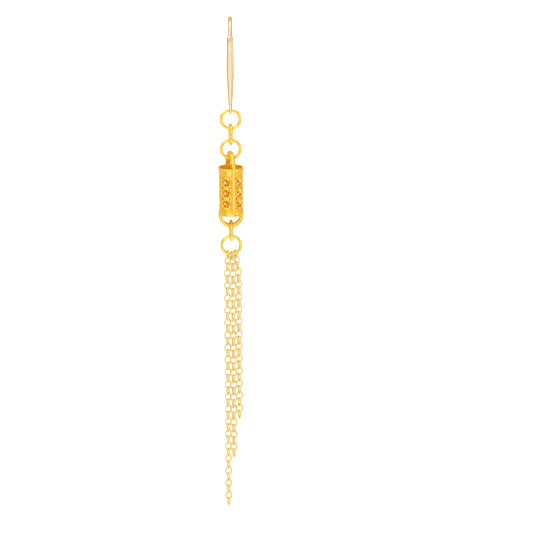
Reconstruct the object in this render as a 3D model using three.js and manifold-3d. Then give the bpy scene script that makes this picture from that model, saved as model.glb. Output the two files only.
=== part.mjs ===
// Dangle earring: a lever-back ear wire, five jump rings, a pierced tube and three cable chains.
// Millimetres, +Z up, the front faces -Y. The origin is the underside of the ear wire's arch,
// where the pierced ear carries it. All the rest hangs plumb below the front of the ear wire.

import * as THREE from 'three';
import { mergeVertices } from 'three/addons/utils/BufferGeometryUtils.js';
import Module from 'manifold-3d';

const wasm = await Module();
wasm.setup();

// Ear wire: the wire through the ear, the broad front and the loop at its foot
const ARCH_WIRE = 0.9; // diameter of the wire through the ear
const ARCH_RADIUS = 4.0; // radius of the arch, to the middle of the wire
const ARCH_TAIL = 0.9; // straight end of the wire behind the ear
const SHOULDER_DROP = 2.23; // from the origin down to the shoulders of the front
const FRONT_LENGTH = 14.25; // from the shoulders down to the neck above the loop
const FRONT_WIDTH = 1.54; // widest place of the front
const FRONT_DEPTH = 1.1; // front to back, at the widest place
const LOOP_BORE = 1.0; // clear opening of the loop
const LOOP_RIM = 0.8; // metal round the opening, seen from the side
const LOOP_WIDTH = 0.68; // metal of the loop, seen from the front

// Lever: the plain clasp behind the front
const LEVER_WIDTH = 1.0;
const LEVER_THICKNESS = 0.8;
const LEVER_PIVOT_RISE = 2.9; // from the middle of the loop up to the lever's foot
const LEVER_BELLY_RISE = 4.6; // from the middle of the loop up to the lever's bend
const CLASP_GAP = 0.12; // play between the lever and the ear wire

// Jump rings
const RING_DIAMETER = 4.4; // outside
const RING_WIRE = 0.66;
const LINK_PLAY = 0.05; // play where one ring or loop hangs in another
const SIDE_RING_YAW = 5; // degrees that the rings seen edge-on are turned

// Pierced tube with its bail and stirrup, soldered into one
const TUBE_DIAMETER = 4.97;
const TUBE_HEIGHT = 9.75;
const TUBE_WALL = 0.35;
const TUBE_YAW = 12.3; // degrees that the tube hangs turned about the vertical
const BAIL_WIDTH = 0.74;
const BAIL_THICKNESS = 0.62;
const BAIL_SET = 0.32; // the middle of the bail's arch lies this far below the rim
const BAIL_FOOT_RISE = 0.65; // from the lower rim up to the ends of the bail
const STIRRUP_DROP = 2.75; // from the lower rim down to the stirrup's foot
const STIRRUP_DEPTH = 1.0; // width of the strip, front to back
const STIRRUP_ARM = 0.75; // thickness of the strip at its arms
const STIRRUP_FOOT = 0.95; // thickness of the strip at its foot
const STIRRUP_PROUD = 0.07; // the arms stand out this far from the tube
const STIRRUP_LAP = 0.5; // the arms run this far up the tube
const SOLDER_LAP = 0.04; // overlap that fuses soldered pieces

// Pierced pattern: columns of round rosettes, with small gaps at their sides
const COLUMNS = 5;
const ROWS = 3;
const ROSETTE_DIAMETER = 2.18; // rosettes touch, so this is also the row pitch
const ROSETTE_RIM = 0.24; // raised border of a rosette
const ROSETTE_RELIEF = 0.12; // height of that border over the petals
const PATTERN_DROP = 0.1; // the rows' middle lies this far below the tube's middle
const PETALS = 5;
const PETAL_REACH = 0.74; // middle of a rosette to the outer end of its opening's lobes
const PETAL_WAIST = 0.56; // middle of a rosette to the notches between the lobes
const GAP_WIDTH = 0.52; // side gap, along the wall
const GAP_HEIGHT = 0.96; // side gap, up the wall
const GAP_OUTER = 1.06; // middle of a column to the outer edge of its side gaps

// Chains
const CHAIN_WIRE = 0.35;
const CHAIN_LINK_WIDTH = 1.55; // outside
const CHAIN_LINK_LENGTH = 1.94; // outside
const CHAIN_YAW = 23; // degrees that the open links are turned from facing front
const CHAIN_NECK = 0.03; // length of the neck that fuses one link to the next
const SPREAD_LINKS = 4; // links over which a strand moves out to its own line
const STRANDS = [
  { name: 'chain_long', links: 41, startX: -0.62, hangX: -0.81 },
  { name: 'chain_middle', links: 33, startX: 0.2, hangX: 0.32 },
  { name: 'chain_short', links: 27, startX: 0.86, hangX: 1.45 },
];

// Outline of the ear wire's front: share of its length, width and depth as shares of the widest
const FRONT_OUTLINE = [
  { down: 0, width: 0.88, depth: 1 },
  { down: 0.12, width: 0.9, depth: 1 },
  { down: 0.36, width: 0.98, depth: 1 },
  { down: 0.42, width: 1, depth: 1 },
  { down: 0.56, width: 1, depth: 1 },
  { down: 0.64, width: 0.87, depth: 1 },
  { down: 0.76, width: 0.79, depth: 0.95 },
  { down: 0.9, width: 0.61, depth: 0.85 },
  { down: 1, width: 0.52, depth: 0.75 },
];

// Facets
const ROD_SIDES = 8;
const ARCH_STEPS = 8;
const BAIL_STEPS = 8;
const LOOP_STEPS = 12;
const RING_STEPS = 16;
const RING_SIDES = 6;
const LINK_STEPS = 10;
const LINK_SIDES = 5;
const TUBE_STEPS = 25;
const ROSETTE_STEPS = 10;

const PALE_GOLD = { color: 0xf0d9a8, roughness: 0.25, metalness: 1 };
const YELLOW_GOLD = { color: 0xf5c552, roughness: 0.25, metalness: 1 };
const CHAIN_GOLD = { color: 0xf3d27c, roughness: 0.3, metalness: 1 };

// Places that follow from the sizes
const radians = THREE.MathUtils.degToRad;
const hangY = -ARCH_RADIUS;
const archMiddleZ = ARCH_WIRE / 2 - ARCH_RADIUS;
const loopZ = -SHOULDER_DROP - FRONT_LENGTH - LOOP_BORE / 2 - SOLDER_LAP;
const ringRadius = (RING_DIAMETER - RING_WIRE) / 2;
const ringBore = RING_DIAMETER / 2 - RING_WIRE;
const ringDrop = 2 * ringBore - LINK_PLAY;
const topRingZ = loopZ - LOOP_BORE / 2 + LINK_PLAY + RING_WIRE / 2 - ringRadius;
const bailRingZ = topRingZ - 2 * ringDrop;
const tubeRadius = TUBE_DIAMETER / 2;
const bailRadius = tubeRadius + BAIL_THICKNESS / 2 - SOLDER_LAP;
const bailMiddleZ = bailRingZ - ringBore + LINK_PLAY + BAIL_THICKNESS / 2 - bailRadius;
const tubeTopZ = bailMiddleZ + BAIL_SET;
const tubeFootZ = tubeTopZ - TUBE_HEIGHT;
const stirrupFootZ = tubeFootZ - STIRRUP_DROP;
const stirrupRingZ = stirrupFootZ + STIRRUP_FOOT + LINK_PLAY - ringBore;
const chainRingZ = stirrupRingZ - ringDrop;

// A closed three.js geometry as a solid that can be joined and cut.
function toSolid(geometry) {
  geometry.deleteAttribute('normal');
  geometry.deleteAttribute('uv');
  const merged = mergeVertices(geometry);
  return new wasm.Manifold(new wasm.Mesh({
    numProp: 3,
    vertProperties: new Float32Array(merged.attributes.position.array),
    triVerts: new Uint32Array(merged.index.array),
  }));
}

// A solid back as a three.js geometry.
function toGeometry(solid) {
  const mesh = solid.getMesh();
  const geometry = new THREE.BufferGeometry();
  geometry.setAttribute('position', new THREE.BufferAttribute(mesh.vertProperties, 3));
  geometry.setIndex(new THREE.BufferAttribute(mesh.triVerts, 1));
  geometry.computeVertexNormals();
  return geometry;
}

function joinAll(solids) {
  return solids.reduce((joined, solid) => joined.add(solid));
}

// Shares of a path's length at which a rod along it gets a section.
function sectionShares(path, arcSteps) {
  const ends = path.getCurveLengths();
  const total = ends.at(-1);
  const shares = [0];
  path.curves.forEach((curve, index) => {
    const start = index > 0 ? ends[index - 1] : 0;
    const steps = curve.isLineCurve ? 1 : arcSteps;
    for (let step = 1; step <= steps; step += 1) {
      shares.push((start + ((ends[index] - start) * step) / steps) / total);
    }
  });
  return shares;
}

// A cylinder bent along a path in the YZ plane. sizeAt gives its width along X and its
// thickness in the plane at each share of the path.
function bentRod(path, shares, sizeAt) {
  const steps = shares.length - 1;
  const flat = Math.PI / ROD_SIDES;
  const toFlat = 1 / Math.cos(flat);
  const rod = new THREE.CylinderGeometry(1, 1, 1, ROD_SIDES, steps, false, flat);
  const corners = rod.attributes.position;
  for (let i = 0; i < corners.count; i += 1) {
    const share = shares[Math.round((corners.getY(i) + 0.5) * steps)];
    const at = path.getPoint(share);
    const along = path.getTangent(share);
    const size = sizeAt(share);
    const across = (corners.getX(i) * toFlat * size.width) / 2;
    const out = (corners.getZ(i) * toFlat * size.thickness) / 2;
    corners.setXYZ(i, across, at.x - along.y * out, at.y + along.x * out);
  }
  return rod;
}

// Width and depth of the ear wire's front between two rows of its outline.
function frontSize(share) {
  const next = Math.max(1, FRONT_OUTLINE.findIndex((row) => row.down >= share));
  const above = FRONT_OUTLINE[next - 1];
  const below = FRONT_OUTLINE[next];
  const part = (share - above.down) / (below.down - above.down);
  return {
    width: FRONT_WIDTH * THREE.MathUtils.lerp(above.width, below.width, part),
    thickness: FRONT_DEPTH * THREE.MathUtils.lerp(above.depth, below.depth, part),
  };
}

// The broad front starts on the arch's curve and runs straight down to the neck.
function earWireFront() {
  const turn = Math.asin((-SHOULDER_DROP - archMiddleZ) / ARCH_RADIUS);
  const path = new THREE.Path();
  path.absarc(0, archMiddleZ, ARCH_RADIUS, Math.PI - turn, Math.PI, false);
  path.lineTo(hangY, -SHOULDER_DROP - FRONT_LENGTH);
  return bentRod(path, FRONT_OUTLINE.map((row) => row.down), frontSize);
}

// The wire starts inside the front, crosses the ear and ends above the lever.
function earWireArch() {
  const path = new THREE.Path();
  path.moveTo(hangY, archMiddleZ - ARCH_WIRE);
  path.lineTo(hangY, archMiddleZ);
  path.absarc(0, archMiddleZ, ARCH_RADIUS, Math.PI, 0, true);
  path.lineTo(ARCH_RADIUS, archMiddleZ - ARCH_TAIL);
  const size = { width: ARCH_WIRE, thickness: ARCH_WIRE };
  return bentRod(path, sectionShares(path, ARCH_STEPS), () => size);
}

function earWireLoop() {
  const loop = new THREE.TorusGeometry((LOOP_BORE + LOOP_RIM) / 2, LOOP_RIM / 2, ROD_SIDES, LOOP_STEPS);
  loop.rotateY(Math.PI / 2);
  loop.scale(LOOP_WIDTH / LOOP_RIM, 1, 1);
  loop.translate(0, hangY, loopZ);
  return loop;
}

function earWire() {
  return joinAll([earWireArch(), earWireFront(), earWireLoop()].map(toSolid));
}

// The lever rises from behind the front's foot to just under the end of the wire.
function backLever() {
  const footY = hangY + FRONT_DEPTH / 2 + CLASP_GAP;
  const topZ = archMiddleZ - ARCH_TAIL - CLASP_GAP;
  const bellyZ = loopZ + LEVER_BELLY_RISE;
  const path = new THREE.Path();
  path.moveTo(footY, loopZ + LEVER_PIVOT_RISE);
  path.bezierCurveTo(0, loopZ + LEVER_PIVOT_RISE, ARCH_RADIUS, bellyZ, ARCH_RADIUS, topZ);
  const size = { width: LEVER_WIDTH, thickness: LEVER_THICKNESS };
  return toSolid(bentRod(path, sectionShares(path, ARCH_STEPS), () => size));
}

// A jump ring round the hanging line. Yaw 0 shows its full circle from the front.
function jumpRing(centreZ, yaw) {
  const ring = new THREE.TorusGeometry(ringRadius, RING_WIRE / 2, RING_SIDES, RING_STEPS);
  ring.rotateX(Math.PI / 2);
  ring.rotateZ(radians(yaw));
  ring.translate(0, hangY, centreZ);
  return toSolid(ring);
}

// Frame on the tube's wall: X along the wall, Y up and Z outwards.
// The azimuth is measured from the bail's front arm.
function wallFrame(azimuth, height) {
  const angle = radians(azimuth);
  const along = new THREE.Vector3(Math.cos(angle), Math.sin(angle), 0);
  const up = new THREE.Vector3(0, 0, 1);
  const out = new THREE.Vector3(Math.sin(angle), -Math.cos(angle), 0);
  return new THREE.Matrix4().makeBasis(along, up, out).setPosition(0, 0, height);
}

// An outline pushed outwards from the tube's axis, so that it crosses the wall once.
function radialPunch(points, azimuth, height) {
  const options = { depth: TUBE_DIAMETER, bevelEnabled: false };
  const punch = new THREE.ExtrudeGeometry(new THREE.Shape(points), options);
  punch.applyMatrix4(wallFrame(azimuth, height));
  return toSolid(punch);
}

// Points round a centre. Every second one takes the second radius.
function starPoints(count, outer, inner) {
  const points = [];
  for (let i = 0; i < count; i += 1) {
    const angle = (2 * Math.PI * i) / count;
    const reach = i % 2 === 0 ? outer : inner;
    points.push(new THREE.Vector2(reach * Math.sin(angle), reach * Math.cos(angle)));
  }
  return points;
}

// A side gap between two rosettes. At the ends of a column it is cut in half.
function sideGap(side, isTop, isBottom) {
  const inner = side * (GAP_OUTER - GAP_WIDTH);
  const outer = side * GAP_OUTER;
  const top = isTop ? 0 : GAP_HEIGHT / 2;
  const bottom = isBottom ? 0 : -GAP_HEIGHT / 2;
  return [
    new THREE.Vector2(inner, 0),
    new THREE.Vector2(outer, bottom),
    new THREE.Vector2(outer, top),
  ];
}

// Everything that is punched right through the wall.
function pierced(patternZ) {
  const petals = starPoints(2 * PETALS, PETAL_REACH, PETAL_WAIST);
  const cuts = [];
  for (let column = 0; column < COLUMNS; column += 1) {
    const azimuth = (360 * (column + 0.5)) / COLUMNS;
    for (let row = 0; row < ROWS; row += 1) {
      const height = patternZ + (row - (ROWS - 1) / 2) * ROSETTE_DIAMETER;
      cuts.push(radialPunch(petals, azimuth, height));
    }
    for (let edge = 0; edge <= ROWS; edge += 1) {
      const height = patternZ + (edge - ROWS / 2) * ROSETTE_DIAMETER;
      for (const side of [-1, 1]) {
        cuts.push(radialPunch(sideGap(side, edge === ROWS, edge === 0), azimuth, height));
      }
    }
  }
  return joinAll(cuts);
}

// The petals lie a little below the rosettes' raised borders.
function sunkPetals(patternZ) {
  const reach = ROSETTE_DIAMETER / 2 - ROSETTE_RIM;
  const disc = starPoints(ROSETTE_STEPS, reach, reach);
  const discs = [];
  for (let column = 0; column < COLUMNS; column += 1) {
    const azimuth = (360 * (column + 0.5)) / COLUMNS;
    for (let row = 0; row < ROWS; row += 1) {
      const height = patternZ + (row - (ROWS - 1) / 2) * ROSETTE_DIAMETER;
      discs.push(radialPunch(disc, azimuth, height));
    }
  }
  const skin = cylinderWall(tubeRadius - ROSETTE_RELIEF, TUBE_DIAMETER, tubeFootZ, tubeTopZ);
  return joinAll(discs).intersect(skin);
}

// A round wall about the Z axis.
function cylinderWall(inner, outer, foot, top) {
  const profile = [
    new THREE.Vector2(inner, foot),
    new THREE.Vector2(outer, foot),
    new THREE.Vector2(outer, top),
    new THREE.Vector2(inner, top),
    new THREE.Vector2(inner, foot),
  ];
  const wall = new THREE.LatheGeometry(profile, TUBE_STEPS);
  wall.rotateX(Math.PI / 2);
  return toSolid(wall);
}

// The bail is an inverted U over the tube, its arms soldered down the outside.
function bail() {
  const footZ = tubeFootZ + BAIL_FOOT_RISE;
  const path = new THREE.Path();
  path.moveTo(-bailRadius, footZ);
  path.lineTo(-bailRadius, bailMiddleZ);
  path.absarc(0, bailMiddleZ, bailRadius, Math.PI, 0, true);
  path.lineTo(bailRadius, footZ);
  const size = { width: BAIL_WIDTH, thickness: BAIL_THICKNESS };
  return toSolid(bentRod(path, sectionShares(path, BAIL_STEPS), () => size));
}

// The stirrup is a U of strip under the tube, square to the bail and thickest at its foot.
function stirrup() {
  const radius = tubeRadius + STIRRUP_PROUD - STIRRUP_ARM / 2;
  const middleZ = stirrupFootZ + STIRRUP_FOOT / 2 + radius;
  const lapZ = tubeFootZ + STIRRUP_LAP;
  const path = new THREE.Path();
  path.moveTo(-radius, lapZ);
  path.lineTo(-radius, middleZ);
  path.absarc(0, middleZ, radius, Math.PI, 2 * Math.PI, false);
  path.lineTo(radius, lapZ);
  const strip = bentRod(path, sectionShares(path, BAIL_STEPS), (share) => ({
    width: STIRRUP_DEPTH,
    thickness: THREE.MathUtils.lerp(STIRRUP_ARM, STIRRUP_FOOT, Math.sin(Math.PI * share) ** 2),
  }));
  strip.rotateZ(Math.PI / 2);
  return toSolid(strip);
}

function piercedTube() {
  const patternZ = (tubeTopZ + tubeFootZ) / 2 - PATTERN_DROP;
  const wall = cylinderWall(tubeRadius - TUBE_WALL, tubeRadius, tubeFootZ, tubeTopZ)
    .subtract(sunkPetals(patternZ))
    .subtract(pierced(patternZ));
  return joinAll([wall, bail(), stirrup()]);
}

// An oval link about the origin, long up Z.
function chainLink() {
  const toFlat = 1 / Math.cos(Math.PI / LINK_STEPS);
  const halfWidth = ((CHAIN_LINK_WIDTH - CHAIN_WIRE) / 2) * toFlat;
  const halfLength = ((CHAIN_LINK_LENGTH - CHAIN_WIRE) / 2) * toFlat;
  const link = new THREE.TorusGeometry(halfWidth, CHAIN_WIRE / 2, LINK_SIDES, LINK_STEPS);
  const corners = link.attributes.position;
  for (let i = 0; i < corners.count; i += 1) {
    const turn = (2 * Math.PI * (i % (LINK_STEPS + 1))) / LINK_STEPS;
    corners.setY(i, corners.getY(i) + (halfLength - halfWidth) * Math.sin(turn));
  }
  link.rotateX(Math.PI / 2);
  return link;
}

// Points midway between the facets at which the links of a strand bear on each other, from
// the jump ring down.
function strandJoints(strand) {
  const innerReach = (CHAIN_WIRE / 2) * Math.cos(Math.PI / LINK_SIDES);
  const pitch = CHAIN_LINK_LENGTH - CHAIN_WIRE - 2 * innerReach - CHAIN_NECK;
  const seat = ringBore * Math.cos(Math.PI / RING_STEPS) - CHAIN_WIRE / 2 - LINK_PLAY;
  const seatZ = chainRingZ - Math.sqrt(seat ** 2 - strand.startX ** 2) - CHAIN_WIRE / 2;
  const joints = [new THREE.Vector2(strand.startX, seatZ)];
  for (let i = 1; i <= strand.links; i += 1) {
    const spread = THREE.MathUtils.smoothstep(i, 0, SPREAD_LINKS);
    const x = THREE.MathUtils.lerp(strand.startX, strand.hangX, spread);
    const last = joints.at(-1);
    joints.push(new THREE.Vector2(x, last.y - Math.sqrt(pitch ** 2 - (x - last.x) ** 2)));
  }
  return joints;
}

// A link between two joints. Even ones stand edge-on in the jump ring, odd ones face front.
function hungLink(above, below, isEdgeOn) {
  const link = chainLink();
  link.rotateZ(radians(CHAIN_YAW + (isEdgeOn ? 90 : 0)));
  link.rotateY(Math.atan2(above.x - below.x, above.y - below.y));
  link.translate((above.x + below.x) / 2, hangY, (above.y + below.y) / 2);
  return link;
}

// The two facets of a link that face its middle at the top and at the foot, as the torus
// numbers them: its number in the list of facets, and its corners in order round it.
function innerFacet(step) {
  const side = (LINK_SIDES + 1) / 2;
  const row = LINK_STEPS + 1;
  const near = row * side + step;
  const far = row * (side - 1) + step;
  return { number: (side - 1) * LINK_STEPS + step - 1, corners: [near - 1, far - 1, far, near] };
}

// Triangles of a short neck that joins two opened facets which face each other.
function neck(points, upper, lower) {
  const place = (corner) => new THREE.Vector3().fromArray(points, 3 * corner);
  const distances = lower.map((corner) => place(corner).distanceTo(place(upper[0])));
  const start = distances.indexOf(Math.min(...distances));
  const triangles = [];
  for (let i = 0; i < 4; i += 1) {
    const next = (i + 1) % 4;
    const partner = lower[(start - i + 4) % 4];
    const nextPartner = lower[(start - next + 8) % 4];
    triangles.push(upper[i], upper[next], nextPartner, upper[i], nextPartner, partner);
  }
  return triangles;
}

// A strand is one closed body: links interlock, and a neck fuses each to the next where they
// bear on each other.
function chain(strand) {
  const joints = strandJoints(strand);
  const top = innerFacet(LINK_STEPS / 4 + 0.5);
  const foot = innerFacet((3 * LINK_STEPS) / 4 + 0.5);
  const points = [];
  const triangles = [];
  for (let i = 0; i < strand.links; i += 1) {
    const link = hungLink(joints[i], joints[i + 1], i % 2 === 0);
    const first = points.length / 3;
    const opened = [];
    if (i > 0) opened.push(top.number);
    if (i < strand.links - 1) opened.push(foot.number);
    points.push(...link.attributes.position.array);
    link.index.array.forEach((corner, place) => {
      if (!opened.includes(Math.floor(place / 6))) triangles.push(first + corner);
    });
    if (i > 0) {
      const before = first - link.attributes.position.count;
      const upper = foot.corners.map((corner) => before + corner);
      const lower = top.corners.map((corner) => first + corner);
      triangles.push(...neck(points, upper, lower));
    }
  }
  const strip = new THREE.BufferGeometry();
  strip.setAttribute('position', new THREE.Float32BufferAttribute(points, 3));
  strip.setIndex(triangles);
  return toSolid(strip);
}

const earring = new THREE.Group();

function addPiece(name, solid, finish) {
  const piece = new THREE.Mesh(toGeometry(solid), new THREE.MeshStandardMaterial(finish));
  piece.name = name;
  earring.add(piece);
  return piece;
}

addPiece('ear_wire', earWire(), PALE_GOLD);
addPiece('back_lever', backLever(), PALE_GOLD);
addPiece('ring_1', jumpRing(topRingZ, 0), YELLOW_GOLD);
addPiece('ring_2', jumpRing(topRingZ - ringDrop, 90 + SIDE_RING_YAW), YELLOW_GOLD);
addPiece('ring_3', jumpRing(bailRingZ, 0), YELLOW_GOLD);
const tube = addPiece('pierced_tube', piercedTube(), YELLOW_GOLD);
tube.position.y = hangY;
tube.rotation.z = radians(TUBE_YAW);
addPiece('ring_4', jumpRing(stirrupRingZ, 90 + SIDE_RING_YAW), YELLOW_GOLD);
addPiece('ring_5', jumpRing(chainRingZ, 0), YELLOW_GOLD);
STRANDS.forEach((strand) => addPiece(strand.name, chain(strand), CHAIN_GOLD));

export default earring;
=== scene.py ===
import math

import bmesh
import bpy
from mathutils import Matrix, Vector
from mathutils.geometry import delaunay_2d_cdt


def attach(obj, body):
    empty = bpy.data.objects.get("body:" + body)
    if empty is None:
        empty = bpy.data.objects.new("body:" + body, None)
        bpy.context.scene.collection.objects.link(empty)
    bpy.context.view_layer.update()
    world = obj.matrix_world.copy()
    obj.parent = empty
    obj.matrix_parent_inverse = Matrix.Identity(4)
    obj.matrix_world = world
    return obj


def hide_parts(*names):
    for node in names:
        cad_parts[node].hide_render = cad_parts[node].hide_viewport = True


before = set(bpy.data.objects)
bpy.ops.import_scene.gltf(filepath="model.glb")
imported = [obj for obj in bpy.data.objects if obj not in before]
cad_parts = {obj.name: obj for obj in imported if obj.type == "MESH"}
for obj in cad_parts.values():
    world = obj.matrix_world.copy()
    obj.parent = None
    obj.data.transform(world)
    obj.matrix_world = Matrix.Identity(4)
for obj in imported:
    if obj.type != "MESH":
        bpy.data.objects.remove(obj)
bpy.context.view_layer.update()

MM = 0.001

# Ear wire, in millimetres. +Z is up, the front faces -Y, the origin is under the arch.
ARCH_WIRE = 0.9
ARCH_RADIUS = 4.0
ARCH_TAIL = 0.9
SHOULDER_DROP = 2.23
FRONT_LENGTH = 14.25
FRONT_WIDTH = 1.54
FRONT_DEPTH = 1.1
LOOP_BORE = 1.0
LOOP_RIM = 0.8
LOOP_WIDTH = 0.68
LOOP_TIP = 0.2  # width of the loop at its foot
LOOP_TAPER = 1.0  # height over which the loop narrows to its tip
SOLDER_LAP = 0.04

# Lever behind the front
LEVER_WIDTH = 1.0
LEVER_THICKNESS = 0.8
LEVER_PIVOT_RISE = 2.9
LEVER_BELLY_RISE = 4.6
CLASP_GAP = 0.12

# Jump rings
RING_DIAMETER = 4.4
RING_WIRE = 0.66
LINK_PLAY = 0.05
SIDE_RING_YAW = 5

# Pierced tube with its bail and stirrup
TUBE_DIAMETER = 4.97
TUBE_HEIGHT = 9.75
TUBE_WALL = 0.35
TUBE_YAW = 12.3
TOP_BAND = 1.35
FOOT_BAND = 0.95
TOP_BAND_ROUND = 0.15
FOOT_BAND_ROUND = 0.09
LIP_RADIUS = 0.19  # round lip at the tube's mouth
LIP_PROUD = 0.05
BAIL_WIDTH = 0.8
BAIL_THICKNESS = 0.62
SEAM_RADIUS = 0.075  # of the solder beside the bail's arms
BAIL_SET = 0.32
BAIL_FOOT_RISE = 0.65
BAIL_CROWN_RISE = 0.5  # extra thickness of the bail at its crown, outwards
BAIL_CROWN_SPREAD = 0.24  # extra width there
BAIL_BACK_SPREAD = 0.3  # extra width of the back arm at its top
STIRRUP_DROP = 2.75
STIRRUP_DEPTH = 1.0
STIRRUP_ARM = 0.75
STIRRUP_FOOT = 0.95
STIRRUP_PROUD = 0.07
STIRRUP_LAP = 0.5

# Pierced pattern
COLUMNS = 5
ROWS = 3
ROSETTE_DIAMETER = 2.18
ROSETTE_RIM = 0.28
ROSETTE_RELIEF = 0.12
ROSETTE_BEADS = 14
PATTERN_DROP = 0.1
PETALS = 5
PETAL_REACH = 0.84
PETAL_WAIST = 0.66
SPOKE_RADIUS = 0.05
SPOKE_SET = 0.2  # how far the spokes lie below the tube's face
BOSS_RADIUS = 0.19
BOSS_SET = 0.04
PETAL_WIRE = 0.045  # radius of the wire round the petals
PETAL_MARGIN = 0.05
GAP_WIDTH = 0.52
GAP_HEIGHT = 0.96
GAP_OUTER = 1.06
EDGE_ROUND = 0.03
STRIP_BEAD = 0.15  # radius of the beads in the strips between the columns
STRIP_BEAD_SET = 0.47  # from the middle of a strip to its rows of beads
STRIP_BEAD_PITCH = 0.545
STRIP_MARGIN = 0.2  # from the bands to the first and last beads

# Chains
CHAIN_WIRE = 0.35
CHAIN_ROUND_WIRE = 0.39  # round wire, a little fuller than the faceted solids
CHAIN_LINK_WIDTH = 1.55
CHAIN_LINK_LENGTH = 1.94
CHAIN_YAW = 23
CHAIN_NECK = 0.03
CAD_LINK_SIDES = 5
CAD_RING_STEPS = 16
SPREAD_LINKS = 4
STRANDS = [
    ("chain_long", 41, -0.62, -0.81),
    ("chain_middle", 33, 0.2, 0.32),
    ("chain_short", 27, 0.86, 1.45),
]

# Share of the front's length, width and depth as shares of the widest
FRONT_OUTLINE = [
    (0, 0.88, 1), (0.12, 0.9, 1), (0.36, 0.98, 1), (0.42, 1, 1), (0.56, 1, 1),
    (0.64, 0.87, 1), (0.76, 0.79, 0.95), (0.9, 0.61, 0.85), (1, 0.52, 0.75),
]

# Places that follow from the sizes
HANG_Y = -ARCH_RADIUS
ARCH_MIDDLE_Z = ARCH_WIRE / 2 - ARCH_RADIUS
LOOP_Z = -SHOULDER_DROP - FRONT_LENGTH - LOOP_BORE / 2 - SOLDER_LAP
RING_RADIUS = (RING_DIAMETER - RING_WIRE) / 2
RING_BORE = RING_DIAMETER / 2 - RING_WIRE
RING_DROP = 2 * RING_BORE - LINK_PLAY
TOP_RING_Z = LOOP_Z - LOOP_BORE / 2 + LINK_PLAY + RING_WIRE / 2 - RING_RADIUS
BAIL_RING_Z = TOP_RING_Z - 2 * RING_DROP
TUBE_RADIUS = TUBE_DIAMETER / 2
BAIL_RADIUS = TUBE_RADIUS + BAIL_THICKNESS / 2 - SOLDER_LAP
BAIL_MIDDLE_Z = BAIL_RING_Z - RING_BORE + LINK_PLAY + BAIL_THICKNESS / 2 - BAIL_RADIUS
TUBE_TOP_Z = BAIL_MIDDLE_Z + BAIL_SET
TUBE_FOOT_Z = TUBE_TOP_Z - TUBE_HEIGHT
PATTERN_Z = (TUBE_TOP_Z + TUBE_FOOT_Z) / 2 - PATTERN_DROP
STIRRUP_FOOT_Z = TUBE_FOOT_Z - STIRRUP_DROP
STIRRUP_RING_Z = STIRRUP_FOOT_Z + STIRRUP_FOOT + LINK_PLAY - RING_BORE
CHAIN_RING_Z = STIRRUP_RING_Z - RING_DROP

# Camera: the photograph's angle and framing
CAMERA_AIM = (6.98, HANG_Y, -49.21)
CAMERA_ELEVATION = 15
CAMERA_ROLL = -0.3  # degrees
CAMERA_DISTANCE = 2000
CAMERA_LENS = 679.5

# Floor and the curve in which it rises round the earring
FLOOR_DROP = 600
FLOOR_RADIUS = 2400

# Studio light by direction: stops of brightness from the side away from each direction to it
SHADE = (0.9, 0.68, 0.4)
FRONT_LIGHT = ((-0.08, -1, 0), [
    (0.0, SHADE), (0.6, SHADE), (0.83, (0.78, 0.61, 0.4)), (0.885, (0.84, 0.72, 0.54)),
    (0.935, (1.06, 1.04, 1.0)), (1.0, (1.1, 1.09, 1.06)),
])
RISE_LIGHT = ((0, 0, 1), [
    (0.0, 0.9), (0.3, 1.0), (0.42, 1.0), (0.49, (0.84, 0.74, 0.6)), (0.6, (0.78, 0.66, 0.5)),
    (0.72, (0.88, 0.8, 0.68)), (0.85, 1.0),
])
TOP_LIGHT = ((-0.2, -0.25, 0.9), [
    (0.0, 0.0), (0.62, 0.0), (0.8, (0.86, 0.8, 0.68)), (0.92, (0.98, 0.96, 0.9)),
])
FLOOR_LIGHT = ((0, 0, -1), [(0.0, 0.0), (0.7, 0.0), (0.86, (1.0, 0.94, 0.8))])

X_AXIS = Vector((1, 0, 0))


def add_camera():
    data = bpy.data.cameras.new("photo_camera")
    data.lens = CAMERA_LENS
    data.sensor_width = 36
    data.clip_start = 0.01
    data.clip_end = 30
    camera = bpy.data.objects.new("photo_camera", data)
    bpy.context.collection.objects.link(camera)
    tilt = math.radians(CAMERA_ELEVATION)
    away = Vector((0, -math.cos(tilt), math.sin(tilt))) * CAMERA_DISTANCE
    camera.location = (Vector(CAMERA_AIM) + away) * MM
    turned = Matrix.Rotation(math.pi / 2 - tilt, 3, "X")
    rolled = Matrix.Rotation(math.radians(CAMERA_ROLL), 3, "Z")
    camera.rotation_euler = (turned @ rolled).to_euler()
    bpy.context.scene.camera = camera


def add_softbox(name, place, size, power):
    """A square area light at place (mm from the earring's middle), turned to the earring."""
    data = bpy.data.lights.new(name, "AREA")
    data.shape = "RECTANGLE"
    data.size, data.size_y = (side * MM for side in size)
    data.energy = power
    light = bpy.data.objects.new(name, data)
    bpy.context.collection.objects.link(light)
    middle = Vector((0, HANG_Y, -49))
    light.location = (middle + Vector(place)) * MM
    light.rotation_euler = Vector(place).to_track_quat("Z", "Y").to_euler()


def new_node(tree, kind, place, **values):
    node = tree.nodes.new(kind)
    node.location = place
    for key, value in values.items():
        if hasattr(node, key):
            setattr(node, key, value)
        else:
            node.inputs[key].default_value = value
    return node


def set_ramp(node, stops):
    """Places the colour stops (place, grey or colour) of a colour ramp."""
    elements = node.color_ramp.elements
    while len(elements) > len(stops):
        elements.remove(elements[-1])
    while len(elements) < len(stops):
        elements.new(1.0)
    for element, (place, value) in zip(elements, stops):
        element.position = place
        colour = value if isinstance(value, tuple) else (value, value, value)
        element.color = (*colour, 1)


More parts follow.
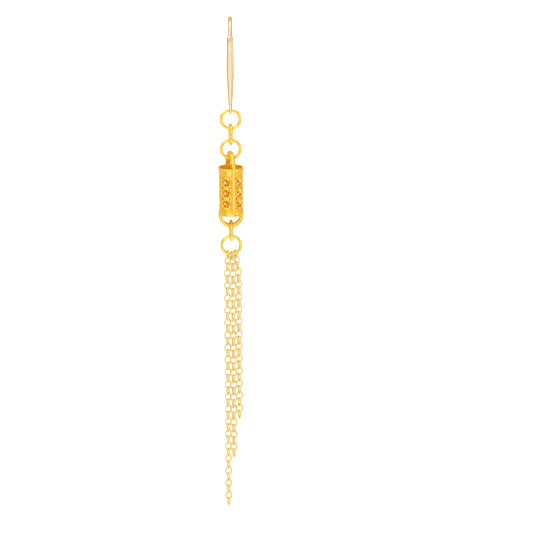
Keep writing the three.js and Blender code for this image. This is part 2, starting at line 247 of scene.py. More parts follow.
def lobe(tree, coords, light, row):
    """A ramp of brightness by direction."""
    direction, stops = light
    toward = new_node(tree, "ShaderNodeVectorMath", (-600, -300 * row), operation="DOT_PRODUCT")
    toward.inputs[1].default_value = Vector(direction).normalized()
    share = new_node(tree, "ShaderNodeMapRange", (-400, -300 * row))
    share.inputs["From Min"].default_value = -1
    ramp = new_node(tree, "ShaderNodeValToRGB", (-200, -300 * row))
    set_ramp(ramp, stops)
    tree.links.new(coords.outputs["Generated"], toward.inputs[0])
    tree.links.new(toward.outputs["Value"], share.inputs["Value"])
    tree.links.new(share.outputs["Result"], ramp.inputs["Fac"])
    return ramp.outputs["Color"]


def add_world():
    """Soft light from the front, above and below, with warm shade at the sides and behind."""
    world = bpy.data.worlds.new("studio")
    bpy.context.scene.world = world
    world.use_nodes = True
    tree = world.node_tree
    tree.nodes.clear()
    coords = new_node(tree, "ShaderNodeTexCoord", (-800, 0))
    front, rise, top, below = (
        lobe(tree, coords, light, row)
        for row, light in enumerate((FRONT_LIGHT, RISE_LIGHT, TOP_LIGHT, FLOOR_LIGHT))
    )
    dim = new_node(tree, "ShaderNodeMix", (100, 0), data_type="RGBA", blend_type="MULTIPLY")
    dim.inputs["Factor"].default_value = 1
    both = new_node(tree, "ShaderNodeMix", (300, 0), data_type="RGBA", blend_type="LIGHTEN")
    both.inputs["Factor"].default_value = 1
    ends = new_node(tree, "ShaderNodeMix", (100, -300), data_type="RGBA", blend_type="LIGHTEN")
    ends.inputs["Factor"].default_value = 1
    background = new_node(tree, "ShaderNodeBackground", (500, 0), Strength=1.0)
    output = new_node(tree, "ShaderNodeOutputWorld", (700, 0))
    tree.links.new(front, dim.inputs["A"])
    tree.links.new(rise, dim.inputs["B"])
    tree.links.new(dim.outputs["Result"], both.inputs["A"])
    tree.links.new(top, ends.inputs["A"])
    tree.links.new(below, ends.inputs["B"])
    tree.links.new(ends.outputs["Result"], both.inputs["B"])
    tree.links.new(both.outputs["Result"], background.inputs["Color"])
    tree.links.new(background.outputs["Background"], output.inputs["Surface"])


def add_floor():
    """A plain pale floor that curves up into a round white tent."""
    steps = 96
    cove = FLOOR_RADIUS / 3
    profile = [(0, -FLOOR_DROP), (400, -FLOOR_DROP), (FLOOR_RADIUS - cove, -FLOOR_DROP)]
    for i in range(1, 9):
        turn = math.pi / 2 * i / 8
        profile.append((FLOOR_RADIUS - cove + cove * math.sin(turn),
                        -FLOOR_DROP + cove * (1 - math.cos(turn))))
    top = profile[-1][1]
    for i in range(1, 12):
        turn = math.pi / 2 * i / 12
        profile.append((FLOOR_RADIUS * math.cos(turn), top + FLOOR_RADIUS * math.sin(turn)))
    vertices = []
    for radius, height in profile[1:]:
        for i in range(steps):
            turn = 2 * math.pi * i / steps
            place = (radius * math.cos(turn), radius * math.sin(turn), height)
            vertices.append(tuple(value * MM for value in place))
    faces = [tuple(range(steps)), tuple(range(len(vertices) - steps, len(vertices)))]
    for band in range(len(profile) - 2):
        first = band * steps
        for i in range(steps):
            k = (i + 1) % steps
            faces.append((first + i, first + steps + i, first + steps + k, first + k))
    mesh = bpy.data.meshes.new("floor")
    mesh.from_pydata(vertices, [], faces)
    mesh.polygons.foreach_set("use_smooth", [True] * len(faces))
    floor = bpy.data.objects.new("floor", mesh)
    bpy.context.collection.objects.link(floor)
    floor.visible_glossy = False
    floor.visible_shadow = False
    material = bpy.data.materials.new("pale_floor")
    material.use_nodes = True
    tree = material.node_tree
    shader = tree.nodes["Principled BSDF"]
    shader.inputs["Roughness"].default_value = 0.9
    shader.inputs["Emission Color"].default_value = (1, 1, 1, 1)
    shader.inputs["Emission Strength"].default_value = 0.52
    coords = new_node(tree, "ShaderNodeTexCoord", (-800, 0))
    noise = new_node(tree, "ShaderNodeTexNoise", (-600, 0), Scale=3.0, Detail=3.0)
    ramp = new_node(tree, "ShaderNodeValToRGB", (-400, 0))
    set_ramp(ramp, [(0.0, 0.94), (1.0, 0.96)])
    tree.links.new(coords.outputs["Object"], noise.inputs["Vector"])
    tree.links.new(noise.outputs["Fac"], ramp.inputs["Fac"])
    tree.links.new(ramp.outputs["Color"], shader.inputs["Base Color"])
    mesh.materials.append(material)


def gold(name, base, tone_and_shade_colour, polish, worn):
    """Plated gold. Tone and polish drift over the surface; hollows get painted shade, a darker
    orange, and are duller.
    """
    material = bpy.data.materials.new(name)
    material.use_nodes = True
    tree = material.node_tree
    link = tree.links.new
    shader = tree.nodes["Principled BSDF"]
    shader.inputs["Metallic"].default_value = 1.0
    coords = new_node(tree, "ShaderNodeTexCoord", (-1500, 0))
    hollow_shade_and_dullness = new_node(tree, "ShaderNodeAttribute", (-1500, 400), attribute_name="hollow_shade_and_dullness")

    tone = new_node(tree, "ShaderNodeTexNoise", (-1200, 300), Scale=520.0, Detail=3.0)
    tone_range = new_node(tree, "ShaderNodeMapRange", (-1000, 300))
    tone_range.inputs["From Min"].default_value = 0.35
    tone_range.inputs["From Max"].default_value = 0.75
    tone_range.inputs["To Max"].default_value = 0.35
    # Painted shade: hollows take the darker orange of light caught inside them, mixed with random
    # tone drift.
    tone_or_shade_share = new_node(tree, "ShaderNodeMath", (-800, 350), operation="MAXIMUM")
    colour = new_node(tree, "ShaderNodeMix", (-550, 300), data_type="RGBA")
    colour.inputs["A"].default_value = (*base, 1)
    colour.inputs["B"].default_value = (*tone_and_shade_colour, 1)
    link(coords.outputs["Object"], tone.inputs["Vector"])
    link(tone.outputs["Fac"], tone_range.inputs["Value"])
    link(tone_range.outputs["Result"], tone_or_shade_share.inputs[0])
    link(hollow_shade_and_dullness.outputs["Fac"], tone_or_shade_share.inputs[1])
    link(tone_or_shade_share.outputs["Value"], colour.inputs["Factor"])
    link(colour.outputs["Result"], shader.inputs["Base Color"])

    smear = new_node(tree, "ShaderNodeTexNoise", (-1200, 0), Scale=1900.0, Detail=4.0)
    smear_range = new_node(tree, "ShaderNodeMapRange", (-1000, 0))
    smear_range.inputs["From Min"].default_value = 0.3
    smear_range.inputs["From Max"].default_value = 0.7
    smear_range.inputs["To Min"].default_value = polish
    smear_range.inputs["To Max"].default_value = worn
    duller = new_node(tree, "ShaderNodeMath", (-800, 50), operation="MULTIPLY_ADD")
    duller.inputs[1].default_value = 0.3
    link(coords.outputs["Object"], smear.inputs["Vector"])
    link(smear.outputs["Fac"], smear_range.inputs["Value"])
    link(hollow_shade_and_dullness.outputs["Fac"], duller.inputs[0])
    link(smear_range.outputs["Result"], duller.inputs[2])
    link(duller.outputs["Value"], shader.inputs["Roughness"])

    stretch = new_node(tree, "ShaderNodeMapping", (-1250, -300))
    stretch.inputs["Scale"].default_value = (9000, 9000, 1100)
    lines = new_node(tree, "ShaderNodeTexNoise", (-1050, -300), Scale=1.0, Detail=2.0)
    waves = new_node(tree, "ShaderNodeTexNoise", (-1050, -550), Scale=1300.0, Detail=2.0)
    fine = new_node(tree, "ShaderNodeBump", (-750, -300), Strength=0.05, Distance=0.000004)
    broad = new_node(tree, "ShaderNodeBump", (-500, -400), Strength=0.08, Distance=0.00001)
    link(coords.outputs["Object"], stretch.inputs["Vector"])
    link(stretch.outputs["Vector"], lines.inputs["Vector"])
    link(coords.outputs["Object"], waves.inputs["Vector"])
    link(lines.outputs["Fac"], fine.inputs["Height"])
    link(waves.outputs["Fac"], broad.inputs["Height"])
    link(fine.outputs["Normal"], broad.inputs["Normal"])
    link(broad.outputs["Normal"], shader.inputs["Normal"])
    return material


def make_piece(name, parts, material, body, sharp=40):
    """One piece from parts: their points (mm), faces and depth in a hollow, 0 to 1, which paints
    shade into the colour there and dulls it.
    """
    points, faces, shade_and_dullness_shares = [], [], []
    for part_points, part_faces, depth in parts:
        first = len(points)
        points.extend(part_points)
        faces.extend(tuple(first + corner for corner in face) for face in part_faces)
        shade_and_dullness_shares.extend(depth if isinstance(depth, list) else [depth] * len(part_points))
    mesh = bpy.data.meshes.new(name)
    mesh.from_pydata([Vector(point) * MM for point in points], [], faces)
    values = mesh.attributes.new("hollow_shade_and_dullness", "FLOAT", "POINT")
    values.data.foreach_set("value", shade_and_dullness_shares)
    shell = bmesh.new()
    shell.from_mesh(mesh)
    bmesh.ops.remove_doubles(shell, verts=shell.verts, dist=0.002 * MM)
    bmesh.ops.recalc_face_normals(shell, faces=shell.faces)
    shell.to_mesh(mesh)
    shell.free()
    mesh.polygons.foreach_set("use_smooth", [True] * len(mesh.polygons))
    mesh.set_sharp_from_angle(angle=math.radians(sharp))
    mesh.materials.append(material)
    piece = bpy.data.objects.new(name, mesh)
    bpy.context.collection.objects.link(piece)
    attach(piece, body)
    return piece


def loft(rings, closed=False, depth=0.0):
    """A skin over rings with the same number of points. Unless it closes, its ends are filled."""
    count = len(rings[0])
    points = [point for ring in rings for point in ring]
    faces = []
    for i in range(len(rings) if closed else len(rings) - 1):
        a = i * count
        b = ((i + 1) % len(rings)) * count
        for j in range(count):
            k = (j + 1) % count
            faces.append((a + j, a + k, b + k, b + j))
    if not closed:
        last = (len(rings) - 1) * count
        faces.append(tuple(range(count - 1, -1, -1)))
        faces.append(tuple(range(last, last + count)))
    return points, faces, depth


def moved(part, matrix):
    points, faces, depth = part
    return [matrix @ Vector(point) for point in points], faces, depth


def section(middle, across, out, half_across, half_out, power=2.0, sides=20):
    """Points round a rod: an ellipse at power 2, and squarer above that."""
    points = []
    for j in range(sides):
        turn = 2 * math.pi * j / sides
        c, s = math.cos(turn), math.sin(turn)
        x = math.copysign(abs(c) ** (2 / power), c) * half_across
        y = math.copysign(abs(s) ** (2 / power), s) * half_out
        points.append(middle + across * x + out * y)
    return points


def rod(line, half_sizes, power=2.0, sides=20, rounding=(0.1, 0.1), depth=0.0):
    """A rod along a line of (y, z) places, with rounded ends and half sizes (across, out)."""
    stations = []
    for i, (y, z) in enumerate(line):
        before = line[max(0, i - 1)]
        after = line[min(len(line) - 1, i + 1)]
        along = Vector((0, after[0] - before[0], after[1] - before[1])).normalized()
        stations.append((Vector((0, y, z)), along, *half_sizes[i]))
    rings = []
    for end, sign in ((0, -1), (-1, 1)):
        middle, along, half_across, half_out = stations[end]
        radius = rounding[end]
        turned = along.cross(X_AXIS)
        cap = []
        for degrees in (85, 60, 35, 12):
            turn = math.radians(degrees)
            shrink = radius * (1 - math.cos(turn))
            place = middle + along * sign * radius * (math.sin(turn) - 1)
            cap.append(section(place, X_AXIS, turned, half_across - shrink,
                               half_out - shrink, power, sides))
        rings.append(cap)
    start, stop = rings[0], rings[1][::-1]
    reach = [0.0]
    for one, two in zip(stations, stations[1:]):
        reach.append(reach[-1] + (two[0] - one[0]).length)
    body = [
        section(middle, X_AXIS, along.cross(X_AXIS), half_across, half_out, power, sides)
        for (middle, along, half_across, half_out), gone in zip(stations, reach)
        if rounding[0] < gone < reach[-1] - rounding[1]
    ]
    return loft(start + body + stop, depth=depth)


def arc(middle_y, middle_z, radius, start, stop, steps):
    """Places (y, z) along an arc, its angles in radians from +Y towards +Z."""
    turns = [start + (stop - start) * i / steps for i in range(steps + 1)]
    return [(middle_y + radius * math.cos(t), middle_z + radius * math.sin(t)) for t in turns]


def straight(start, stop, steps):
    """Places along a straight line, both ends among them."""
    return [
        tuple(a + (b - a) * i / steps for a, b in zip(start, stop)) for i in range(steps + 1)
    ]


def front_share(share):
    """Width and depth of the front at a share of its length."""
    share = min(max(share, 0), 1)
    for above, below in zip(FRONT_OUTLINE, FRONT_OUTLINE[1:]):
        if share <= below[0]:
            part = (share - above[0]) / (below[0] - above[0])
            return [above[k] + (below[k] - above[k]) * part for k in (1, 2)]
    return list(FRONT_OUTLINE[-1][1:])


def front_size(share):
    """The outline's half sizes, with its corners eased."""
    near = [front_share(share + step) for step in (-0.03, -0.015, 0, 0.015, 0.03)]
    width = sum(row[0] for row in near) / len(near)
    depth = sum(row[1] for row in near) / len(near)
    return FRONT_WIDTH / 2 * width, FRONT_DEPTH / 2 * depth


def ear_wire_parts():
    wire = (ARCH_WIRE / 2, ARCH_WIRE / 2)
    arch = (
        straight((HANG_Y, ARCH_MIDDLE_Z - ARCH_WIRE), (HANG_Y, ARCH_MIDDLE_Z), 3)[:-1]
        + arc(0, ARCH_MIDDLE_Z, ARCH_RADIUS, math.pi, 0, 64)
        + straight((ARCH_RADIUS, ARCH_MIDDLE_Z), (ARCH_RADIUS, ARCH_MIDDLE_Z - ARCH_TAIL), 3)[1:]
    )
    turn = math.asin((-SHOULDER_DROP - ARCH_MIDDLE_Z) / ARCH_RADIUS)
    top = arc(0, ARCH_MIDDLE_Z, ARCH_RADIUS, math.pi - turn, math.pi, 10)
    foot_z = -SHOULDER_DROP - FRONT_LENGTH
    front = top + straight((HANG_Y, ARCH_MIDDLE_Z), (HANG_Y, foot_z), 90)[1:]
    gone = [0.0]
    for one, two in zip(front, front[1:]):
        gone.append(gone[-1] + math.dist(one, two))
    sizes = [front_size(length / gone[-1]) for length in gone]
    loop = []
    for i in range(56):
        angle = 2 * math.pi * i / 56
        out = Vector((0, math.cos(angle), math.sin(angle)))
        middle = Vector((0, HANG_Y, LOOP_Z)) + out * (LOOP_BORE + LOOP_RIM) / 2
        rise = (LOOP_BORE / 2 + LOOP_RIM) * (1 + math.sin(angle)) / LOOP_TAPER
        half = LOOP_TIP / 2 + (LOOP_WIDTH - LOOP_TIP) / 2 * min(1, rise) ** 0.8
        loop.append(section(middle, X_AXIS, out, half, LOOP_RIM / 2, 2.2, 20))
    return [
        rod(arch, [wire] * len(arch), sides=24, rounding=(0.1, 0.3)),
        rod(front, sizes, power=2.2, sides=36, rounding=(0.12, 0.12)),
        loft(loop, closed=True),
    ]


def lever_parts():
    foot_y = HANG_Y + FRONT_DEPTH / 2 + CLASP_GAP
    foot_z = LOOP_Z + LEVER_PIVOT_RISE
    top_z = ARCH_MIDDLE_Z - ARCH_TAIL - CLASP_GAP
    belly_z = LOOP_Z + LEVER_BELLY_RISE
    handles = [(foot_y, foot_z), (0, foot_z), (ARCH_RADIUS, belly_z), (ARCH_RADIUS, top_z)]
    line = []
    for i in range(61):
        t = i / 60
        weights = ((1 - t) ** 3, 3 * t * (1 - t) ** 2, 3 * t * t * (1 - t), t ** 3)
        line.append(tuple(sum(w * h[k] for w, h in zip(weights, handles)) for k in (0, 1)))
    sizes = []
    for i in range(61):
        t = i / 60
        waist = 1 - 0.18 * math.sin(math.pi * t) ** 2
        sizes.append((LEVER_WIDTH / 2 * waist, LEVER_THICKNESS / 2 * (1 - 0.1 * t)))
    return [rod(line, sizes, power=2.6, sides=28, rounding=(0.2, 0.3))]


def jump_ring_parts(centre_z, yaw, seam):
    """A round ring with a fine closed seam at an angle (degrees)."""
    turned = Matrix.Translation((0, HANG_Y, centre_z)) @ Matrix.Rotation(math.radians(yaw), 4, "Z")
    seam = math.radians(seam)
    turns = [seam + 2 * math.pi * i / 96 for i in range(96)]
    turns[1:1] = [seam + step for step in (0.008, 0.016, 0.03)]
    turns[0:0] = [seam - step for step in (0.03, 0.016, 0.008)]
    rings = []
    for turn in turns:
        out = Vector((math.cos(turn), 0, math.sin(turn)))
        groove = 1 - 0.1 * math.exp(-(((turn - seam) / 0.011) ** 2))
        half = RING_WIRE / 2 * groove
        rings.append(section(out * RING_RADIUS, Vector((0, 1, 0)), out, half, half, 2.0, 22))
    return [moved(loft(rings, closed=True), turned)]


def on_wall(azimuth, along, height, out):
    """A place on the tube's wall: along it from an azimuth (degrees), and out from its face."""
    angle = math.radians(azimuth) + along / TUBE_RADIUS
    radius = TUBE_RADIUS + out
    return Vector((radius * math.sin(angle), -radius * math.cos(angle), height))


def band_part(profile, depth=0.0, steps=150):
    """A round band from a closed profile of (radius, height)."""
    rings = []
    for i in range(steps):
        angle = 2 * math.pi * i / steps
        rings.append([Vector((r * math.sin(angle), -r * math.cos(angle), z)) for r, z in profile])
    return loft(rings, closed=True, depth=depth)


def hollow_inside(part, radius):
    """The part with its points within a radius of the tube's axis marked for painted shade."""
    points, faces, _ = part
    return points, faces, [1.0 if math.hypot(p[0], p[1]) < radius else 0.0 for p in points]


def rounded_profile(inner, outer, foot, top, radius, steps=5):
    """A rectangle of (radius, height) with rounded corners."""
    corners = [
        (outer - radius, foot + radius, -90), (outer - radius, top - radius, 0),
        (inner + radius, top - radius, 90), (inner + radius, foot + radius, 180),
    ]
    points = []
    for r, z, start in corners:
        for i in range(steps + 1):
            turn = math.radians(start + 90 * i / steps)
            points.append((r + radius * math.cos(turn), z + radius * math.sin(turn)))
    return points


def flower(count, reach, waist):
    """Outline of a rosette's opening: petals round its middle."""
    points = []
    for i in range(count):
        turn = 2 * math.pi * i / count
        petal = (0.5 + 0.5 * math.cos(PETALS * turn)) ** 0.6
        radius = waist + (reach - waist) * petal
        points.append((radius * math.sin(turn), radius * math.cos(turn)))
    return points


def eased_outline(corners, step=0.1):
    """Points round a shape whose corners are cut a little round."""
    points = []
    count = len(corners)
    for i, corner in enumerate(corners):
        before, after = corners[i - 1], corners[(i + 1) % count]
        for other in (before, after):
            length = math.dist(corner, other)
            share = min(0.35, 0.1 / length)
            points.append(tuple(c + (o - c) * share for c, o in zip(corner, other)))
    full = []
    for i, point in enumerate(points):
        after = points[(i + 1) % len(points)]
        pieces = max(1, round(math.dist(point, after) / step))
        full.extend(straight(point, after, pieces)[:-1])
    return full


def openings():
    """Outlines that pierce one column of the wall, its middle at 0 along and 0 up."""
    shapes = []
    for row in range(ROWS):
        rise = (row - (ROWS - 1) / 2) * ROSETTE_DIAMETER
        shapes.append([(x, y + rise) for x, y in flower(50, PETAL_REACH, PETAL_WAIST)])
    for edge in range(ROWS + 1):
        rise = (edge - ROWS / 2) * ROSETTE_DIAMETER
        top = 0 if edge == ROWS else GAP_HEIGHT / 2
        foot = 0 if edge == 0 else -GAP_HEIGHT / 2
        for side in (-1, 1):
            inner, outer = side * (GAP_OUTER - GAP_WIDTH), side * GAP_OUTER
            corners = [(inner, 0), (outer, foot), (outer, top)]
            if edge in (0, ROWS):
                corners = [(inner, 0), (outer, 0), (outer, foot or top)]
            shapes.append([(x, y + rise) for x, y in eased_outline(corners)])
    return shapes


def inside(point, shape):
    x, y = point
    hit = False
    for (ax, ay), (bx, by) in zip(shape, shape[1:] + shape[:1]):
        if (ay > y) != (by > y) and x < (bx - ax) * (y - ay) / (by - ay) + ax:
            hit = not hit
    return hit


def pierced_sheet_part():
    """The sheet between the bands. One column is filled flat, then bent and repeated."""
    half = math.pi * TUBE_RADIUS / COLUMNS
    low = TUBE_FOOT_Z + FOOT_BAND - 0.1 - PATTERN_Z
    high = TUBE_TOP_Z - TOP_BAND + 0.1 - PATTERN_Z
    frame_line = (
        straight((-half, low), (half, low), 24)[:-1] + straight((half, low), (half, high), 30)[:-1]
        + straight((half, high), (-half, high), 24)[:-1]
        + straight((-half, high), (-half, low), 30)[:-1]
    )
    shapes = openings()
    flat_points, edges = [], []
    for line in [frame_line] + shapes:
        first = len(flat_points)
        flat_points.extend(line)
        edges.extend((first + i, first + (i + 1) % len(line)) for i in range(len(line)))
    for i in range(1, 20):
        for j in range(1, 26):
            point = (-half + 2 * half * i / 20, low + (high - low) * j / 26)
            near = min(math.dist(point, other) for other in flat_points[:len(edges)])
            if near > 0.06 and not any(inside(point, shape) for shape in shapes):
                flat_points.append(point)
    filled = delaunay_2d_cdt([Vector(p) for p in flat_points], edges, [], 1, 1e-6)
    flat = [tuple(point) for point in filled[0]]
    triangles = []
    for a, b, c in filled[2]:
        middle = tuple((flat[a][k] + flat[b][k] + flat[c][k]) / 3 for k in (0, 1))
        if any(inside(middle, shape) for shape in shapes):
            continue
        turn = (flat[b][0] - flat[a][0]) * (flat[c][1] - flat[a][1]) \
            - (flat[c][0] - flat[a][0]) * (flat[b][1] - flat[a][1])
        triangles.append((a, b, c) if turn > 0 else (a, c, b))
    used = {}
    for a, b, c in triangles:
        for edge in ((a, b), (b, c), (c, a)):
            used[edge] = True
    rim = [
        edge for edge in used if (edge[1], edge[0]) not in used
        and not all(abs(abs(flat[corner][0]) - half) < 1e-4 for corner in edge)
    ]
    shift = {}
    for a, b in rim:
        dx, dy = flat[b][0] - flat[a][0], flat[b][1] - flat[a][1]
        length = math.hypot(dx, dy)
        for corner in (a, b):
            x, y = shift.get(corner, (0, 0))
            shift[corner] = (x + dy / length, y - dx / length)
    face_out = -ROSETTE_RELIEF
    back_out = -TUBE_WALL
    layers = [
        (face_out, 0), (face_out - EDGE_ROUND * 0.3, 0.7), (face_out - EDGE_ROUND, 1),
        (back_out + EDGE_ROUND, 1), (back_out + EDGE_ROUND * 0.3, 0.7), (back_out, 0),
    ]
    points, faces = [], []
    for column in range(COLUMNS):
        azimuth = 360 * (column + 0.5) / COLUMNS
        skins = []
        for out in (face_out, back_out):
            skins.append(len(points))
            points.extend(on_wall(azimuth, x, y + PATTERN_Z, out) for x, y in flat)
        for a, b, c in triangles:
            faces.append((skins[0] + a, skins[0] + b, skins[0] + c))
            faces.append((skins[1] + a, skins[1] + c, skins[1] + b))
        walls = {}
        for corner, (x, y) in shift.items():
            length = math.hypot(x, y) or 1
            walls[corner] = [skins[0] + corner]
            for out, share in layers[1:-1]:
                walls[corner].append(len(points))
                along = flat[corner][0] + x / length * EDGE_ROUND * share
                height = flat[corner][1] + y / length * EDGE_ROUND * share + PATTERN_Z
                points.append(on_wall(azimuth, along, height, out))
            walls[corner].append(skins[1] + corner)
        for a, b in rim:
            for one, two, three, four in zip(walls[a], walls[b], walls[b][1:], walls[a][1:]):
                faces.append((one, four, three, two))
    # Painted shade: the pierced sheet is painted darker, more where it lies sunk below the face.
    shade_and_dullness_shares = []
    for point in points:
        sunk = TUBE_RADIUS + face_out - math.hypot(point[0], point[1])
        shade_and_dullness_shares.append(min(1.0, 0.68 + 3.2 * max(0.0, sunk)))
    return points, faces, shade_and_dullness_shares


def wire_on_wall(line, azimuth, sizes, out, sides=8, depth=0.0):
    """A closed wire that lies on the wall along (along, height) places."""
    rings = []
    count = len(line)
    for i, (x, y) in enumerate(line):
        before, after = line[i - 1], line[(i + 1) % count]
        dx, dy = after[0] - before[0], after[1] - before[1]
        length = math.hypot(dx, dy)
        half_wide, half_high = sizes[i]
        ring = []
        for j in range(sides):
            turn = 2 * math.pi * j / sides
            wide, high = half_wide * math.cos(turn), half_high * math.sin(turn)
            ring.append(on_wall(azimuth, x + dy / length * wide, y - dx / length * wide,
                                out + high))
        rings.append(ring)
    return loft(rings, closed=True, depth=depth)


def bead(azimuth, along, height, out, radius):
    """A round bead that sits on the wall."""
    rings = []
    for i in range(1, 6):
        tilt = math.pi * i / 6
        ring = []
        for j in range(10):
            turn = 2 * math.pi * j / 10
            ring.append(on_wall(azimuth, along + radius * math.sin(tilt) * math.cos(turn),
                                height + radius * math.sin(tilt) * math.sin(turn),
                                out - radius * math.cos(tilt)))
        rings.append(ring)
    return loft(rings)


def spoke(azimuth, rise, number):
    """A fine wire between two petals, from a rosette's middle to its rim."""
    turn = 2 * math.pi * (number + 0.5) / PETALS
    rings = []
    for reach in (0, PETAL_WAIST / 2, PETAL_WAIST + PETAL_MARGIN + 0.01):
        x, y = reach * math.sin(turn), rise + reach * math.cos(turn)
        rings.append([
            on_wall(azimuth, x + SPOKE_RADIUS * math.cos(turn) * math.cos(t),
                    y - SPOKE_RADIUS * math.sin(turn) * math.cos(t),
                    SPOKE_RADIUS * math.sin(t) - SPOKE_SET)
            for t in (2 * math.pi * j / 8 for j in range(8))
        ])
    # The spokes lie below the face: painted shade in full.
    return loft(rings, depth=1.0)


def tube_parts():
    bands = [
        rounded_profile(TUBE_RADIUS - TUBE_WALL, TUBE_RADIUS, TUBE_TOP_Z - TOP_BAND, TUBE_TOP_Z,
                        TOP_BAND_ROUND),
        rounded_profile(TUBE_RADIUS - TUBE_WALL, TUBE_RADIUS, TUBE_FOOT_Z,
                        TUBE_FOOT_Z + FOOT_BAND, FOOT_BAND_ROUND),
    ]
    # The bands' inner faces get painted shade.
    parts = [hollow_inside(band_part(band), TUBE_RADIUS - TUBE_WALL + 0.05) for band in bands]
    parts.append(pierced_sheet_part())
    lip = [(TUBE_RADIUS + LIP_PROUD - LIP_RADIUS * (1 - math.cos(t)),
            TUBE_TOP_Z - LIP_RADIUS * (1 - math.sin(t)))
           for t in (2 * math.pi * i / 14 for i in range(14))]
    parts.append(band_part(lip))
    border = ROSETTE_DIAMETER / 2 - ROSETTE_RIM / 2
    for column in range(COLUMNS):
        azimuth = 360 * (column + 0.5) / COLUMNS
        for row in range(ROWS):
            rise = PATTERN_Z + (row - (ROWS - 1) / 2) * ROSETTE_DIAMETER
            ring, sizes = [], []
            for i in range(ROSETTE_BEADS * 6):
                turn = 2 * math.pi * i / (ROSETTE_BEADS * 6)
                ring.append((border * math.sin(turn), rise + border * math.cos(turn)))
                swell = 0.85 + 0.15 * math.cos(ROSETTE_BEADS * turn)
                sizes.append((ROSETTE_RIM / 2 * swell, ROSETTE_RELIEF * 1.1 * swell))
            parts.append(wire_on_wall(ring, azimuth, sizes, -ROSETTE_RELIEF))
            outline = flower(60, PETAL_REACH + PETAL_MARGIN, PETAL_WAIST + PETAL_MARGIN)
            petals = [(x, y + rise) for x, y in outline]
            thickness = [(PETAL_WIRE, PETAL_WIRE)] * len(petals)
            parts.append(wire_on_wall(petals, azimuth, thickness, -ROSETTE_RELIEF, 6))
            parts.extend(spoke(azimuth, rise, k) for k in range(PETALS))
            # The boss sits below the face and gets painted shade.
            points, faces, _ = bead(azimuth, 0, rise, -BOSS_RADIUS - BOSS_SET, BOSS_RADIUS)
            parts.append((points, faces, 0.8))
        strip = 360 * column / COLUMNS
        low = TUBE_FOOT_Z + FOOT_BAND + STRIP_MARGIN
        count = int((TUBE_TOP_Z - TOP_BAND - low) / STRIP_BEAD_PITCH)
        for side in (-1, 1):
            for i in range(count + 1):
                height = low + i * (TUBE_TOP_Z - TOP_BAND - STRIP_MARGIN - low) / count
                parts.append(bead(strip, side * STRIP_BEAD_SET, height, -STRIP_BEAD, STRIP_BEAD))
    return parts + bail_parts() + stirrup_parts()


def bail_parts():
    foot_z = TUBE_FOOT_Z + BAIL_FOOT_RISE
    line = (
        straight((-BAIL_RADIUS, foot_z), (-BAIL_RADIUS, BAIL_MIDDLE_Z), 24)[:-1]
        + arc(0, BAIL_MIDDLE_Z, BAIL_RADIUS, math.pi, 0, 48)
        + straight((BAIL_RADIUS, BAIL_MIDDLE_Z), (BAIL_RADIUS, foot_z), 24)[1:]
    )
    crowned, sizes = [], []
    for y, z in line:
        crown = max(0, (z - BAIL_MIDDLE_Z) / BAIL_RADIUS) ** 3
        lift = 1 + crown * BAIL_CROWN_RISE / BAIL_RADIUS / 2
        crowned.append((y * lift, BAIL_MIDDLE_Z + (z - BAIL_MIDDLE_Z) * lift
                        if z > BAIL_MIDDLE_Z else z))
        above_foot = min(1, max(0, (z - foot_z) / (TUBE_TOP_Z - foot_z)))
        spread = BAIL_BACK_SPREAD * max(0, y / BAIL_RADIUS) * above_foot ** 2
        sizes.append(((BAIL_WIDTH + crown * BAIL_CROWN_SPREAD + spread) / 2,
                      (BAIL_THICKNESS + crown * BAIL_CROWN_RISE) / 2))
    points, faces, _ = rod(crowned, sizes, power=2.3, sides=24, rounding=(0.14, 0.14))
    # Painted shade on the bail's inner face, toward the tube.
    inner = BAIL_RADIUS - BAIL_THICKNESS / 6
    shade_and_dullness_shares = [
        0.9 if math.hypot(p[1], max(0, p[2] - BAIL_MIDDLE_Z)) < inner else 0.0 for p in points
    ]
    parts = [(points, faces, shade_and_dullness_shares)]
    for azimuth in (0, 180):
        for side in (-1, 1):
            rings = []
            for i in range(31):
                height = foot_z + 0.1 + (TUBE_TOP_Z - foot_z - 0.25) * i / 30
                swell = SEAM_RADIUS + 0.02 * math.sin(i * 1.7 + azimuth + side)
                rings.append([
                    on_wall(azimuth, side * BAIL_WIDTH / 2 * 0.9 + swell * math.cos(t), height,
                            swell * math.sin(t) - 0.02)
                    for t in (2 * math.pi * j / 8 for j in range(8))
                ])
            # The seams lie in the crease beside each arm: a little painted shade.
            parts.append(loft(rings, depth=0.2))
    return parts


def stirrup_parts():
    radius = TUBE_RADIUS + STIRRUP_PROUD - STIRRUP_ARM / 2
    middle_z = STIRRUP_FOOT_Z + STIRRUP_FOOT / 2 + radius
    lap_z = TUBE_FOOT_Z + STIRRUP_LAP
    line = (
        straight((-radius, lap_z), (-radius, middle_z), 6)[:-1]
        + arc(0, middle_z, radius, math.pi, 2 * math.pi, 56)
        + straight((radius, middle_z), (radius, lap_z), 6)[1:]
    )
    sizes = []
    for i in range(len(line)):
        share = math.sin(math.pi * i / (len(line) - 1)) ** 2
        thick = STIRRUP_ARM + (STIRRUP_FOOT - STIRRUP_ARM) * share
        sizes.append((STIRRUP_DEPTH / 2, thick / 2))
    points, faces, _ = rod(line, sizes, power=3.2, sides=32, rounding=(0.12, 0.12))
    # Painted shade on the stirrup's inner curve.
    inner = radius - STIRRUP_ARM / 4
    shade_and_dullness_shares = [0.5 if math.hypot(p[1], min(0, p[2] - middle_z)) < inner else 0.0 for p in points]
    strip = (points, faces, shade_and_dullness_shares)
    return [moved(strip, Matrix.Rotation(math.pi / 2, 4, "Z"))]


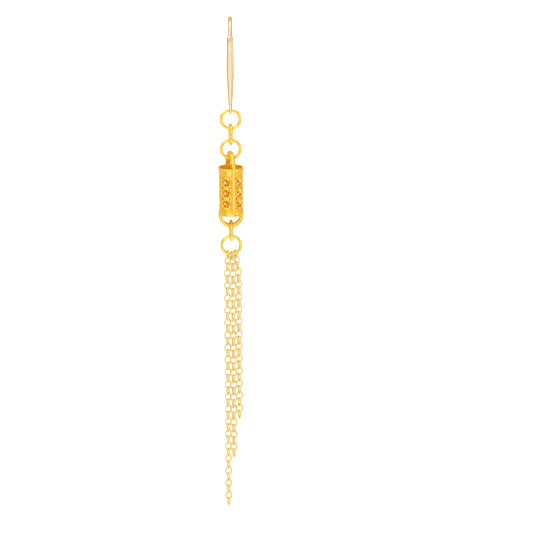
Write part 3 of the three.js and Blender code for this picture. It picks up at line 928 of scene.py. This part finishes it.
def strand_joints(links, start_x, hang_x):
    """Places (x, z) midway between the links of a strand, from the jump ring down."""
    inner_reach = CHAIN_WIRE / 2 * math.cos(math.pi / CAD_LINK_SIDES)
    pitch = CHAIN_LINK_LENGTH - CHAIN_WIRE - 2 * inner_reach - CHAIN_NECK
    seat = RING_BORE * math.cos(math.pi / CAD_RING_STEPS) - CHAIN_WIRE / 2 - LINK_PLAY
    seat_z = CHAIN_RING_Z - math.sqrt(seat ** 2 - start_x ** 2) - CHAIN_WIRE / 2
    joints = [(start_x, seat_z)]
    for i in range(1, links + 1):
        share = min(1, i / SPREAD_LINKS)
        share = share * share * (3 - 2 * share)
        x = start_x + (hang_x - start_x) * share
        last_x, last_z = joints[-1]
        joints.append((x, last_z - math.sqrt(pitch ** 2 - (x - last_x) ** 2)))
    return joints, pitch


def chain_parts(links, start_x, hang_x):
    joints, pitch = strand_joints(links, start_x, hang_x)
    half_width = (CHAIN_LINK_WIDTH - CHAIN_WIRE) / 2
    half_length = (pitch + CHAIN_WIRE) / 2
    wire = CHAIN_ROUND_WIRE / 2
    parts = []
    for i in range(links):
        (above_x, above_z), (below_x, below_z) = joints[i], joints[i + 1]
        yaw = math.radians(CHAIN_YAW + (90 if i % 2 == 0 else 0))
        lean = math.atan2(above_x - below_x, above_z - below_z)
        place = (
            Matrix.Translation(((above_x + below_x) / 2, HANG_Y, (above_z + below_z) / 2))
            @ Matrix.Rotation(lean, 4, "Y") @ Matrix.Rotation(yaw, 4, "Z")
        )
        rings = []
        for j in range(34):
            turn = 2 * math.pi * j / 34
            middle = Vector((half_width * math.cos(turn), 0, half_length * math.sin(turn)))
            out = Vector((half_length * math.cos(turn), 0, half_width * math.sin(turn)))
            rings.append(section(middle, Vector((0, 1, 0)), out.normalized(), wire, wire, 2, 12))
        parts.append(moved(loft(rings, closed=True), place))
    return parts


bpy.context.scene.view_settings.view_transform = "Standard"
bpy.context.scene.cycles.max_bounces = 16
bpy.context.scene.cycles.glossy_bounces = 14
bpy.context.scene.cycles.diffuse_bounces = 1
add_camera()
add_floor()
add_world()
add_softbox("key", (-420, -620, 420), (320, 420), 0.55)
add_softbox("fill", (620, -420, 80), (260, 420), 0.4)
add_softbox("top", (0, 60, 700), (500, 300), 0.45)
add_softbox("under", (0, -80, -520), (500, 400), 0.3)

# The second colour of each is what random tone drift and painted hollow shade blend toward.
pale_gold = gold("pale_gold_plate", (0.89, 0.8, 0.62), (0.8, 0.62, 0.38), 0.14, 0.26)
yellow_gold = gold("yellow_gold_plate", (0.98, 0.79, 0.18), (1.0, 0.68, 0.035), 0.16, 0.28)
chain_gold = gold("chain_gold_plate", (0.97, 0.87, 0.5), (0.95, 0.68, 0.22), 0.18, 0.3)

ear_wire = make_piece("ear_wire_look", ear_wire_parts(), pale_gold, "hook")
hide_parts("ear_wire")
lever = make_piece("back_lever_look", lever_parts(), pale_gold, "hook")
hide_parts("back_lever")

JUMP_RINGS = [
    ("ring_1", TOP_RING_Z, 0, 52), ("ring_2", TOP_RING_Z - RING_DROP, 90 + SIDE_RING_YAW, 20),
    ("ring_3", BAIL_RING_Z, 0, 160), ("ring_4", STIRRUP_RING_Z, 90 + SIDE_RING_YAW, 190),
    ("ring_5", CHAIN_RING_Z, 0, 35),
]
for node, centre_z, yaw, seam in JUMP_RINGS:
    ring = make_piece(node + "_look", jump_ring_parts(centre_z, yaw, seam), yellow_gold, "drop")
    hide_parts(node)

to_tube = Matrix.Translation((0, HANG_Y, 0)) @ Matrix.Rotation(math.radians(TUBE_YAW), 4, "Z")
tube = make_piece("pierced_tube_look", [moved(part, to_tube) for part in tube_parts()],
                  yellow_gold, "drop")
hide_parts("pierced_tube")

for node, links, start_x, hang_x in STRANDS:
    strand = make_piece(node + "_look", chain_parts(links, start_x, hang_x), chain_gold, "drop")
    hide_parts(node)
